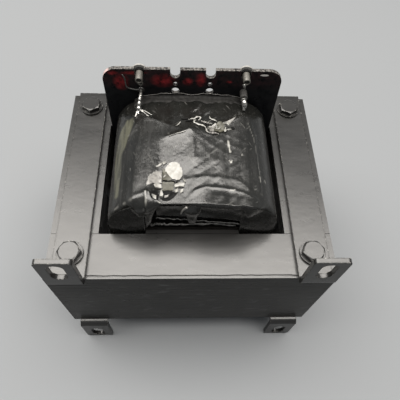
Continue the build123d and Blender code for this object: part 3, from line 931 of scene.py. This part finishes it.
def make_scraps():
    """The patch and the tear in the coil's top: scraps of film, and crumpled strips along the torn edges,
    with dark matte sheets as painted shade in the tear's openings.
    """
    draws = np.random.default_rng(21)
    films = {"white": WHITE_FILM, "beige": BEIGE_FILM, "grey": GREY_FILM, "shaded_gap": FINISHES["collar"]}
    patches = {film: [] for film in films}
    edges = {film: [] for film in films}
    for film, outline, lift, curl in SCRAPS:
        patches[film].append(scrap(outline, lift, curl, draws))
    for number, (film, path, width, lift) in enumerate(STRIPS):
        edges[film].append(ribbon(path, width, lift, FIRST_STRIP_SEED + number))
    for film, material in films.items():
        make_piece(f"scraps_{film}", joined(patches[film]), "tape", material=material, sharp=50)
        if edges[film]:
            add_thickness(make_piece(f"strips_{film}", joined(edges[film]), "tape", material=material))


def add_thickness(piece):
    film = piece.modifiers.new("film", "SOLIDIFY")
    film.thickness = FILM_THICKNESS * MM
    film.offset = 1.0


# The loose film behind the coil: between which places along the loop, where it leaves the wrap and where it
# turns up, and then its rows, each a share of its height and how far it stands off the board
BACK_FILM_LEFT, BACK_FILM_RIGHT = -25.0, 22.5
BACK_FILM_TORN, BACK_FILM_TURN = 22.8, 24.8
BACK_FILM_ROWS = [(0.1, 1.2), (0.3, 0.6), (0.6, 0.35), (0.95, 0.32), (1.0, 0.5)]
RIM_RADIUS = 0.1


def make_back_film():
    """A loose edge of film that runs off the coil's back and laps up the front of the board, its top edge
    rimmed in paler film as a painted highlight.
    """
    u = np.linspace(BACK_FILM_LEFT, BACK_FILM_RIGHT, 150)

    def uneven(cell, seed):
        return noise_field(u + 90, 90, cell, 1.0, seed)

    crumple = uneven(7.0, 91) + 0.3 * uneven(1.6, 92)
    height = (1.3 + 0.9 * crumple) * band(u, BACK_FILM_LEFT + 2.0, BACK_FILM_RIGHT - 2.0, 2.0)
    wave = 0.12 * uneven(2.2, 93)
    torn = BACK_FILM_TORN + 1.2 * uneven(4.6, 94) + 0.5 * uneven(1.3, 95)
    rows = [on_tape(u, torn, -0.3), on_tape(u, torn + 0.6, 0.02), on_tape(u, BACK_FILM_TURN, 0.08)]
    foot = rows[-1]
    for share, reach in BACK_FILM_ROWS:
        rows.append(np.column_stack([foot[:, 0], BOARD_FRONT - reach + wave, foot[:, 2] + height * share]))
    shape = np.vstack(rows), grid_faces(len(rows), len(u))
    add_thickness(make_piece("back_film", shape, "tape", material=HAZY_FILM))
    # The paler rim along the film's top edge is a painted highlight of the curled edge catching the light
    make_piece("back_film_rim_highlight", tube(rows[-1][6:-6], RIM_RADIUS, sides=6), "tape", material=GREY_FILM)


# Front end of the coil: flaps of film over the wound layers

FLAP_COLUMNS, FLAP_ROWS = 40, 44


def end_sheet(left, right, bottom, top, bulge, seed, crumple=0.12):
    """A crumpled sheet on the front end. Each side is x at the bottom and its gain to the top, and the bottom
    and top lines are functions of x."""
    shares = np.linspace(0, 1, FLAP_COLUMNS)
    points = []
    for level in np.linspace(0, 1, FLAP_ROWS):
        left_x, right_x = (start + gain * level for start, gain in (left, right))
        x = left_x + (right_x - left_x) * shares
        z = bottom(x) + (top(x) - bottom(x)) * level
        wave = noise_field(x + 90, z + 90, 4.6, 3.8, seed)
        wave = wave + 0.35 * noise_field(x + 90, z + 90, 1.6, 2.4, seed + 1)
        swell = np.sin(np.pi * np.clip(level, 0.03, 0.97)) * np.sin(np.pi * shares) ** 0.5
        y = COIL_FRONT - 0.12 - bulge * swell - crumple * wave
        points.append(np.column_stack([x, y, z]))
    return np.vstack(points), grid_faces(FLAP_ROWS, FLAP_COLUMNS)


def shoulder_height(x):
    """Height of the coil's outline over the core's top at a distance from the middle."""
    along = np.linspace(0, COIL.top_length + COIL.shoulder_length, 400)
    outline_x, outline_z, _, _ = COIL.at(along)
    return np.interp(np.abs(x), outline_x, outline_z)


def make_flaps():
    """Film folded over the upper front corners, and the loose ends that hang between them."""
    side = COIL_HIGH[0] - 0.3

    def corner_flap(left, right, bulge, seed):
        return end_sheet(left, right, lambda x: -7.0, lambda x: shoulder_height(x) - 1.3, bulge, seed)

    shapes = {
        "corner_flap_left": corner_flap((-side, 0), (-19.6, 1.2), 0.5, 31),
        "corner_flap_right": corner_flap((19.8, -1.9), (side, 0), 0.6, 37),
        "loose_flap_left": end_sheet(
            (-18.6, 0), (-16.6, 3.4), lambda x: 3.0 + 2.2 * (x + 18.6), lambda x: 20.4, 0.9, 41
        ),
        "inner_film": end_sheet(
            (-14.0, 0), (19.4, 0), lambda x: 13.2 - 0.004 * (x + 14) ** 2, lambda x: 20.0, -0.7, 43, 0.2
        ),
        "loose_flap_middle": end_sheet(
            (-1.6, -2.8), (0.9, 2.6), lambda x: 6.5 + 0.9 * np.abs(x + 0.4), lambda x: 20.6, 0.8, 47, 0.4
        ),
    }
    for name, shape in shapes.items():
        add_thickness(make_piece(name, shape, "tape"))


# The turned-over edge of the middle flap, in paler film as a painted highlight: x and z along it
FLAP_FOLD_HIGHLIGHT = [(-2.6, 20.4), (-4.1, 18.0), (-4.8, 15.4)]


def make_flap_fold_highlight():
    """The edge where the middle flap turns over on itself, in paler film as a painted highlight."""
    route = smooth_route([(x, COIL_FRONT - 0.7, z) for x, z in FLAP_FOLD_HIGHLIGHT], 40)
    make_piece("flap_fold_highlight", tube(route, np.linspace(0.55, 0.2, 40), sides=8), "tape", material=GREY_FILM)


def ring_layer(inner, outer, front, back, bulge, columns=120):
    """One wound layer as a closed band between two outlines, rounded at both ends."""
    shares = np.linspace(-2, 2, columns, endpoint=False)
    inside_line, outside_line = (np.array(line.at(shares * line.quarter)[:2]) for line in (inner, outer))
    middle_line = (inside_line + outside_line) / 2
    profile = [(inside_line, front), (middle_line, front - bulge), (outside_line, front)]
    profile += [(outside_line, back), (middle_line, back + bulge), (inside_line, back)]
    rows = [np.column_stack([x, np.full(columns, y), z]) for (x, z), y in profile]
    return np.vstack(rows), grid_faces(len(rows), columns, closed=True, looped=True)


def blended(inner, outer, share):
    return Section(*(a + (b - a) * share for a, b in zip(inner, outer)))


LAYER_FILL = 0.93
LAYER_END_GAP, LAYER_END_SPREAD, LAYER_END_BULGE = 0.2, 0.9, 0.18


def make_winding(name, node, inner, outer, layers, seed):
    """A winding as its layers, each ending a little before or after its neighbours."""
    draws = np.random.default_rng(seed)
    front, back = (corner[1] for corner in node_box(node))
    rings = []
    for layer in range(layers):
        low, high = (blended(inner, outer, (layer + part) / layers) for part in (0, LAYER_FILL))
        ends = LAYER_END_GAP + draws.uniform(0.0, LAYER_END_SPREAD, 2)
        rings.append(ring_layer(low, high, front + ends[0], back - ends[1], LAYER_END_BULGE))
    make_piece(name, joined(rings), "winding", [node], sharp=60)


def node_section(node, crown, shoulder):
    """What a Section takes, with the half width and half height of a node."""
    low, high = node_box(node)
    return (high[0], (high[2] - low[2]) / 2, crown, shoulder)


# Ends of insulation that stick out between the wound layers, in paler sleeving that is partly a painted
# highlight: x and z along each, and its radius
LAYER_ENDS = [
    ([(-14.4, 10.4), (-7.9, 9.7), (-1.3, 9.1), (6.4, 7.7), (18.7, 5.7)], 0.28),
    ([(-16.7, 4.0), (-13.8, 5.5), (-7.0, 4.9), (6.5, 5.6), (17.4, 3.9)], 0.45),
]


def make_layer_ends():
    """Frayed ends of the layers' insulation across the open front of the coil, their paleness partly their
    own grey and partly a painted highlight.
    """
    places = np.linspace(0, 40, 90) + 60
    ends = []
    for number, (path, radius) in enumerate(LAYER_ENDS):
        route = smooth_route([(x, COIL_FRONT + 0.25, z) for x, z in path], len(places))
        route[:, 1] += 0.3 * noise_field(places, 60, 1.3, 1.0, 81 + number)
        frayed = radius * (1 + 0.5 * noise_field(places, 70, 0.8, 1.0, 85 + number))
        ends.append(tube(route, frayed, sides=8))
    make_piece("layer_ends_with_highlight", joined(ends), "winding", material=FINISHES["sleeve"])


# Crown and shoulder of the outlines that the windings lie between
FORMER_LINE, INNER_LINE, PAPER_LINE = (0.02, 1.0), (0.84, 8.8), (0.84, 9.7)
WRAP_THICKNESS = 1.1
INNER_LAYERS, OUTER_LAYERS = 7, 8


def make_windings():
    former = node_section("coil_former", *FORMER_LINE)
    inner_outside = node_section("inner_winding", *INNER_LINE)
    paper_outside = node_section("winding_paper", *PAPER_LINE)
    outer_outside = node_section("outer_winding", COIL_CROWN, COIL_SHOULDER - WRAP_THICKNESS)
    make_winding("inner_winding_layers", "inner_winding", former, inner_outside, INNER_LAYERS, seed=51)
    make_winding("outer_winding_layers", "outer_winding", paper_outside, outer_outside, OUTER_LAYERS, seed=52)


# Terminals and leads

PIN_RADIUS, PIN_BORE, PIN_GROOVE = 1.5, 0.9, 0.18
COLLAR_BORE, COLLAR_SET_BACK = 1.53, 0.5
EYELET_LEVEL = 28.8
LEAD_RADIUS = 0.65
TAIL_RADIUS = 0.3
AXIS = 0.02  # the radius that closes a turned piece


def make_turned(name, centre, profile, slot, replaced=(), material=None, sides=36, sharp=35):
    make_piece(name, turned(centre, profile, sides), slot, replaced, material, sharp)


def make_terminals():
    """Hollow pins with a rolled mouth, a groove near the board and a domed head behind it."""
    for side in ("left", "right"):
        node = f"terminal_{side}"
        low, high = node_box(node)
        head, mouth, rear = (high[2] - low[2]) / 2, low[1], high[1]
        pin, bore, groove, board = PIN_RADIUS, PIN_BORE, PIN_RADIUS - PIN_GROOVE, BOARD_BACK
        profile = [(mouth + 1.1, AXIS), (mouth + 1.0, bore), (mouth + 0.35, bore), (mouth + 0.1, bore + 0.12)]
        profile += [(mouth, (pin + bore) / 2), (mouth + 0.1, pin - 0.1), (mouth + 0.35, pin)]
        profile += [(board - 1.1, pin), (board - 1.0, groove), (board - 0.75, groove), (board - 0.65, pin)]
        profile += [(board + 0.3, pin), (board + 0.3, AXIS)]
        make_turned(node + "_pin", axis_of(node), profile, "terminal", [node])
        rim = [(board + 0.02, AXIS), (board + 0.02, head - 0.12), (board + 0.14, head), (rear - 0.5, head)]
        rim += [(rear - 0.16, head - 0.22), (rear - 0.02, head - 0.75), (rear, 0.4 * head), (rear, AXIS)]
        # The head's paler tin is partly a painted highlight of the top light on its dome
        make_turned(node + "_head", axis_of(node), rim, "terminal", [node], HEAD_TIN_WITH_HIGHLIGHT)


def make_collars():
    """Black bushes in the notches, set back from the front of the board."""
    for side in ("left", "right"):
        node = f"terminal_collar_{side}"
        low, high = node_box(node)
        bush, bore, face = (high[0] - low[0]) / 2, COLLAR_BORE, BOARD_FRONT + COLLAR_SET_BACK
        profile = [(high[1], bore), (face + 0.05, bore), (face, bore + 0.08), (face, bush - 0.12)]
        profile += [(face + 0.12, bush), (high[1], bush)]
        make_turned(f"collar_{side}", axis_of(node), profile, "collar", [node])


def make_eyelet():
    """A dull ring in the small hole below the left terminal, closed behind."""
    centre = np.array((axis_of("terminal_left")[0], 0, EYELET_LEVEL))
    steps = [(1.3, AXIS), (1.3, 0.55), (0.1, 0.6), (-0.2, 0.7), (-0.3, 0.9), (-0.25, 1.15), (-0.02, 1.25)]
    steps += [(0.05, 0.98), (1.4, 0.98), (1.4, AXIS)]
    profile = [(BOARD_FRONT + step, radius) for step, radius in steps]
    make_turned("eyelet_left", centre, profile, "terminal", sides=24, sharp=None)


def lead_route(node):
    """A lead's route from the coil through the board and up behind it, from the node's box."""
    low, high = node_box(node)
    x, hole_z = axis_of(node)[0], axis_of("lead_sleeve")[2]
    behind = high[1] - LEAD_RADIUS
    corner = 0.7
    return np.array([
        (x, low[1] + 0.5, low[2] + LEAD_RADIUS),
        (x, BOARD_FRONT - 5.0, hole_z - 0.2),
        (x, BOARD_FRONT - 3.0, hole_z),
        (x, behind - corner, hole_z),
        (x, behind, hole_z + corner),
        (x, behind, high[2]),
    ])


# The left lead's strands on the film: where each ends on the unrolled wrap, and its radius
STRANDS = [(-23.9, 15.2, 0.6), (-18.2, 14.4, 0.5), (-16.9, 15.4, 0.32), (-22.6, 16.4, 0.7)]


def make_left_lead():
    """A bare tinned lead, lumpy with solder, whose strands fork out over the film."""
    way = lead_route("lead_left")
    way[0, 0] -= 0.8
    way[1, 0] -= 0.3
    places = np.linspace(0, 1, 90)
    lumps = 0.12 * np.sin(places * 75) + 0.1 * noise_field(places * 40 + 50, 50, 1.0, 1.0, 61)
    soldered = 1.0 + lumps + 0.6 * smooth_step(-places, -0.2, 0.0)
    radii = LEAD_RADIUS * np.where(places < 0.55, soldered, 0.9)
    wires = [tube(smooth_route(way, len(places)), radii, sides=14)]
    foot = way[0]
    for far_u, far_v, wide in STRANDS:
        middle_u, middle_v = (foot[0] + far_u) / 2, (foot[1] + far_v) / 2 + 0.5
        near = on_tape(np.array([middle_u, far_u]), np.array([middle_v, far_v]), np.array([0.35, 0.15]))
        strand = smooth_route(np.vstack([foot, near]), 20)
        wires.append(tube(strand, np.linspace(wide * 1.2, wide * 0.6, 20), sides=8))
    make_piece("lead_left_strands", joined(wires), "lead", ["lead_left"])


def make_varnish_plug():
    """Black varnish that fills the board's hole round the left lead."""
    x, _, z = lead_route("lead_left")[2]
    front, rear = BOARD_FRONT, BOARD_BACK
    profile = [(rear - 0.1, 0.5), (front - 0.5, 0.5), (front - 0.45, 0.8), (front - 0.2, 1.4)]
    profile += [(front + 0.1, 1.63), (rear - 0.2, 1.63), (rear - 0.1, 1.4)]
    centre = np.array((x, 0, z))
    make_turned("varnish_plug", centre, profile, "winding", sides=24, sharp=None)


# Radii along the lump of solder on the right lead
SOLDER_RADII = [0.8, 1.35, 1.0, 1.25, 1.15, 0.5]


def make_right_lead():
    """A lead in a sleeve, ending in a lump of solder on the film, with a spike of solder at its terminal."""
    whole = lead_route("lead_right")
    x, z, board = whole[0][0], whole[2][2], BOARD_FRONT
    blob = [(x - 0.3, board - 3.9, z), (x, board - 5.2, z - 0.6), (x + 0.5, board - 7.4, z - 2.4)]
    radii = np.interp(np.linspace(0, 5, 30), range(6), SOLDER_RADII)
    axis_z, mouth = axis_of("terminal_right")[2], node_box("terminal_right")[0][1]
    spike = [(x - 0.9, mouth + 0.3, axis_z - 1.1), (x - 0.8, mouth - 0.4, axis_z - 2.0)]
    spike += [(x - 0.3, mouth - 0.2, axis_z - 3.4)]
    wires = [
        tube(smooth_route(whole, 80), LEAD_RADIUS * 0.95, sides=14),
        tube(smooth_route(blob, 30), radii, sides=16),
        tube(smooth_route(spike, 14), np.linspace(0.75, 0.15, 14), sides=10),
    ]
    make_piece("lead_right_solder", joined(wires), "lead", ["lead_right"])


SLEEVE_WALL_GAP = 0.2
WEAVE_STEPS, WEAVE_DEPTH = 16, 0.07


def make_sleeve():
    """A woven tube round the right lead."""
    low, high = node_box("lead_sleeve")
    outside, bore = (high[0] - low[0]) / 2, LEAD_RADIUS + SLEEVE_WALL_GAP
    mouth, rear = low[1], high[1]
    profile = [(rear, bore), (mouth + 0.2, bore), (mouth, (bore + outside) / 2)]
    for step in range(WEAVE_STEPS):
        y = mouth + 0.2 + (rear - mouth - 0.2) * step / (WEAVE_STEPS - 1)
        profile.append((y, outside - (WEAVE_DEPTH if step % 2 else 0.0)))
    centre = axis_of("lead_sleeve")
    make_turned("lead_sleeve_weave", centre, profile, "sleeve", ["lead_sleeve"], sides=28, sharp=60)


def make_winding_tail():
    """A thin wire that comes out of the left lead's hole and lies against the board."""
    x, _, z = lead_route("lead_left")[2]
    face = BOARD_FRONT - 0.35
    spots = [(x - 1.0, BOARD_FRONT + 0.8, z + 0.4), (x - 1.5, face, z + 0.5), (x - 4.8, face, z + 1.3)]
    spots += [(x - 5.9, face, z + 2.6), (x - 6.1, face, z + 6.4), (x - 6.9, face + 0.15, z + 8.6)]
    wire = tube(smooth_route(spots, 60), TAIL_RADIUS, sides=8)
    make_piece("winding_tail", wire, "winding", material=FINISHES["sleeve"])


finish_cad_nodes()
make_laminations()
make_tape()
make_scraps()
make_back_film()
make_flaps()
make_flap_fold_highlight()
make_windings()
make_layer_ends()
make_terminals()
make_collars()
make_eyelet()
make_left_lead()
make_varnish_plug()
make_right_lead()
make_sleeve()
make_winding_tail()


# Stage, light and camera


def make_floor():
    half = 2.0
    corners = [(-half, -half, 0), (half, -half, 0), (half, half, 0), (-half, half, 0)]
    mesh = bpy.data.meshes.new("floor")
    mesh.from_pydata(corners, [], [(0, 1, 2, 3)])
    floor = bpy.data.objects.new("floor", mesh)
    bpy.context.collection.objects.link(floor)
    paint = Paint("floor", (0.121, 0.127, 0.133), 0.9)
    mesh.materials.append(paint.material)


def make_light(name, place, turn, size, power, color):
    """A panel that faces straight down, turned about its upright by some degrees."""
    data = bpy.data.lights.new(name, "AREA")
    data.shape = "RECTANGLE"
    data.size, data.size_y = size
    data.energy = power
    data.color = color
    light = bpy.data.objects.new(name, data)
    light.location = place
    light.rotation_euler = (0, 0, math.radians(turn))
    bpy.context.collection.objects.link(light)


def make_world(color, strength):
    world = bpy.data.worlds.new("studio")
    world.use_nodes = True
    background = world.node_tree.nodes["Background"]
    background.inputs["Color"].default_value = (*color, 1.0)
    background.inputs["Strength"].default_value = strength
    bpy.context.scene.world = world


# The photo's camera, solved from the corners of the core: its place from the core's middle, in lamination
# modules, two of its axes, and its lens on a sensor of the usual width, both in millimetres
MODULE = 19.05
CAMERA_PLACE = (-0.26616, -5.39547, 7.96202)
CAMERA_RIGHT = (0.99883, -0.02153, 0.04324)
CAMERA_UP = (-0.0036, 0.8592, 0.5116)
LENS, SENSOR = 37.05, 36.0


def make_camera():
    data = bpy.data.cameras.new("camera")
    data.sensor_width = SENSOR
    data.lens = LENS
    data.clip_start = 0.01
    right, up = Vector(CAMERA_RIGHT), Vector(CAMERA_UP)
    camera = bpy.data.objects.new("camera", data)
    place = Vector(CORE_ORIGIN) + MODULE * MM * Vector(CAMERA_PLACE)
    axes = Matrix((right, up, right.cross(up))).transposed()
    camera.matrix_world = Matrix.Translation(place) @ axes.to_4x4()
    bpy.context.collection.objects.link(camera)
    bpy.context.scene.camera = camera


make_floor()
make_world(color=(0.93, 0.97, 1.0), strength=0.36)
make_light(
    "overhead", place=(-0.2, 0.15, 1.15), turn=-9, size=(2.1, 0.95), power=79.0, color=(1.0, 0.96, 0.905)
)
make_camera()
bpy.context.scene.view_settings.view_transform = "Standard"
